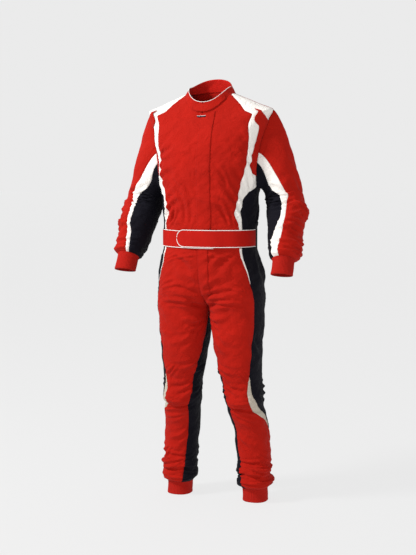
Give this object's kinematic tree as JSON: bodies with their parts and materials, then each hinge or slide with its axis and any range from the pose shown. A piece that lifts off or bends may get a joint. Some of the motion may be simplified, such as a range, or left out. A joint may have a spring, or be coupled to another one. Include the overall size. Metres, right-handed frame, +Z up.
{
  "type": "karting suit",
  "caption": "Red, white and navy one-piece karting suit with stand collar, belt and knit cuffs, filled out with no wearer.",
  "frame": {"origin": "the middle of the shoulder line, where the wearer's shoulders carry the suit", "axes": "+Z up from the ankles to the collar, the front faces -Y, +X to the wearer's left"},
  "size_m": [0.6892, 0.2699, 1.509],
  "materials": {
    "red_cloth": "matte",
    "white_cloth": "matte",
    "navy_cloth": "matte",
    "cream_cloth": "matte",
    "belt_cloth": "matte",
    "red_knit": "matte"
  },
  "bodies": {
    "root": {"front_left": "red_cloth", "front_right": "red_cloth", "back": "red_cloth", "collar": "red_cloth", "collar_tab": "red_cloth", "placket": "red_cloth", "belt_left": "belt_cloth", "belt_right": "belt_cloth", "yoke_band_left": "white_cloth", "yoke_band_right": "white_cloth", "side_left": "navy_cloth", "side_right": "navy_cloth", "strip_left": "red_cloth", "strip_right": "red_cloth", "sleeve_outer_left": "red_cloth", "sleeve_outer_right": "red_cloth", "sleeve_band_left": "white_cloth", "sleeve_band_right": "white_cloth", "sleeve_under_left": "navy_cloth", "sleeve_under_right": "navy_cloth", "wrist_cuff_left": "red_knit", "wrist_cuff_right": "red_knit", "leg_front_left": "red_cloth", "leg_front_right": "red_cloth", "leg_back_left": "navy_cloth", "leg_back_right": "navy_cloth", "knee_insert_left": "cream_cloth", "knee_insert_right": "cream_cloth", "ankle_cuff_left": "red_knit", "ankle_cuff_right": "red_knit"}
  },
  "joints": []
}
